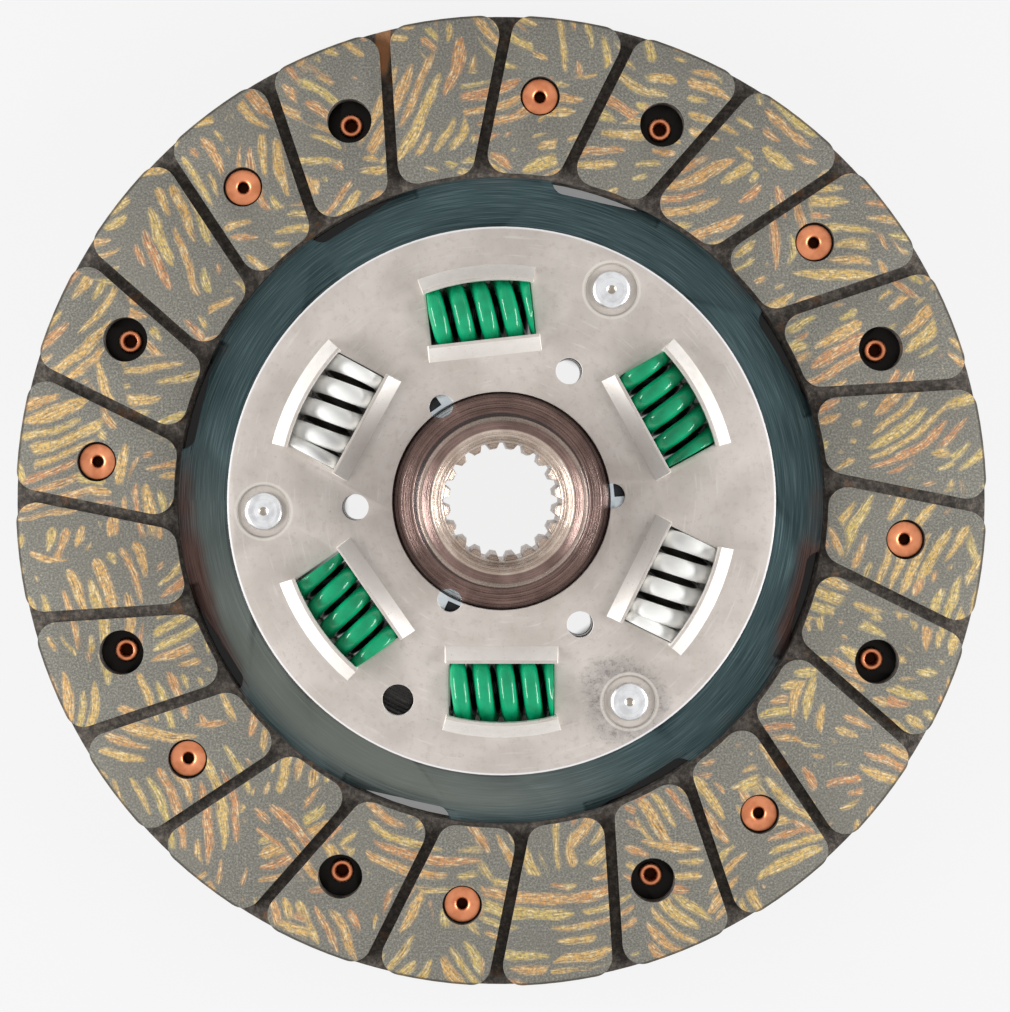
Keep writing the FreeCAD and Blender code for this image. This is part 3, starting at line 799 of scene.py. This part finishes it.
# Each coil's turn at its middle in radians, and how far along its axis the wire still climbs each way.
coils = {
    "damper_spring_green_1": (0.48, -coil_len, coil_len),
    "damper_spring_green_2": (1.41, -coil_len, coil_len),
    "damper_spring_green_3": (0.0, -coil_len, coil_len),
    "damper_spring_green_4": (-1.65, -coil_len, coil_len),
    "damper_spring_white_1": (-4.71, -9.9, 9.6),
    "damper_spring_white_2": (-1.09, -9.6, 9.9),
}
for node, (phase, low_end, high_end) in coils.items():
    low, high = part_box(node)
    middle = (low + high) / 2
    angle = math.atan2(middle.y, middle.x)
    white = "white" in node
    pitch = white_pitch if white else green_pitch
    coil = grown(node.replace("damper", "wound"), wound_coil, {
        "Coil radius": coil_mean_r * mm,
        "Wire radius": coil_wire_r * mm,
        "Pitch": pitch * mm,
        "Turns": (coil_len + 2 * coil_wire_r) / pitch,
        "Phase": phase,
        "Length": coil_len * mm,
        "Low end": low_end * mm,
        "High end": high_end * mm,
        "Finish": white_paint if white else green_paint,
    })
    coil.data.transform(Matrix.Translation((spring_axis_r * mm, 0, spring_z * mm)))
    coil.data.transform(Matrix.Rotation(angle, 4, "Z"))
    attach(coil, "springs")
    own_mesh(coil)
    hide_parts(node)


# Studio
# A pale floor, two low panels at the sides and a camera straight above the disc.


def seen_share(graph):
    """1 for what the camera sees, also in a mirror or through glass, and 0 for light on the disc."""
    path = graph.add("ShaderNodeLightPath")
    seen = path.out("Is Camera Ray").reckon("MAXIMUM", path.out("Is Glossy Ray"))
    return seen.reckon("MAXIMUM", path.out("Is Transmission Ray"))


def studio_world():
    world = bpy.data.worlds.new("studio")
    world.use_nodes = True
    graph = Graph(world.node_tree)
    graph.tree.nodes.clear()
    lit = graph.add("ShaderNodeBackground", {}, {"Color": tint(240, 240, 242), "Strength": 0.28})
    shown = graph.add("ShaderNodeBackground", {}, {"Color": tint(245, 245, 245), "Strength": 1.0})
    mixed = graph.add("ShaderNodeMixShader", {}, {0: seen_share(graph), 1: lit, 2: shown})
    graph.add("ShaderNodeOutputWorld", {}, {"Surface": mixed})
    bpy.context.scene.world = world


def floor_finish():
    """Pale board that looks almost white to the camera, with a painted shadow under the disc, lighter at
    two sectors of slots.
    """
    finish = Finish("studio_floor")
    hub_shade_r, disc_shade_r = 32.0, 96.0
    # Painted shadow: in a ring under the disc the board is painted dark and glows less to the camera.
    under = finish.radius.step(hub_shade_r, hub_shade_r + 2.0)
    under = under * finish.radius.step(disc_shade_r, disc_shade_r - 6.0)
    # Painted light: two sectors of the painted shadow are painted lighter.
    painted_slot_light = (finish.x * finish.y).step(0.0, 300.0) * finish.x.reckon("ABSOLUTE").step(42.0, 34.0)
    tone = finish.blend(under * (1.0 - painted_slot_light), tint(232, 230, 232), tint(84, 72, 66))
    board = finish.add("ShaderNodeBsdfDiffuse", {}, {"Color": tone})
    glow = finish.add("ShaderNodeEmission", {}, {"Color": tint(246, 246, 246), "Strength": 1.0})
    share = seen_share(finish) * (0.93 - under * (0.91 - painted_slot_light * 0.24))
    mixed = finish.add("ShaderNodeMixShader", {}, {0: share, 1: board, 2: glow})
    finish.add("ShaderNodeOutputMaterial", {}, {"Surface": mixed})
    return finish.material


def soft_lamp(name, place, power):
    """A panel lamp that faces the middle of the disc."""
    light = bpy.data.lights.new(name, "AREA")
    light.shape = "RECTANGLE"
    light.size, light.size_y = 0.4, 0.1
    light.energy = power
    lamp = bpy.data.objects.new(name, light)
    lamp.location = place
    lamp.rotation_euler = (-Vector(place)).to_track_quat("-Z", "Y").to_euler()
    bpy.context.scene.collection.objects.link(lamp)


studio_world()
floor_half = 3.0
floor_z = solid_low.z
floor_mesh = bpy.data.meshes.new("floor")
corners = [(x * floor_half, y * floor_half, floor_z) for x, y in ((-1, -1), (1, -1), (1, 1), (-1, 1))]
floor_mesh.from_pydata(corners, [], [(0, 1, 2, 3)])
floor_mesh.materials.append(floor_finish())
floor = bpy.data.objects.new("floor", floor_mesh)
bpy.context.scene.collection.objects.link(floor)

soft_lamp("left_panel", (-0.45, -0.05, 0.18), 2.95)
soft_lamp("right_panel", (0.45, -0.05, 0.18), 2.75)

image_w, image_h = 1010, 1012
sensor_w = 36.0
camera_height = 0.4
view_w = 208.07 * mm
view_h = view_w * image_h / image_w
camera_x, camera_y = -7.2 * mm, 7.5 * mm
disc_px = (501.2, 500.6)
pixel = view_w / image_w
camera_data = bpy.data.cameras.new("camera")
camera_data.sensor_width = sensor_w
camera_data.lens = sensor_w * camera_height / view_h
camera_data.shift_x = (image_w / 2 - camera_x / pixel - disc_px[0]) / image_h
camera_data.shift_y = -(image_h / 2 + camera_y / pixel - disc_px[1]) / image_h
camera = bpy.data.objects.new("camera", camera_data)
camera.location = (camera_x, camera_y, facing_top * mm + camera_height)
bpy.context.scene.collection.objects.link(camera)
bpy.context.scene.camera = camera
bpy.context.scene.view_settings.view_transform = "Standard"
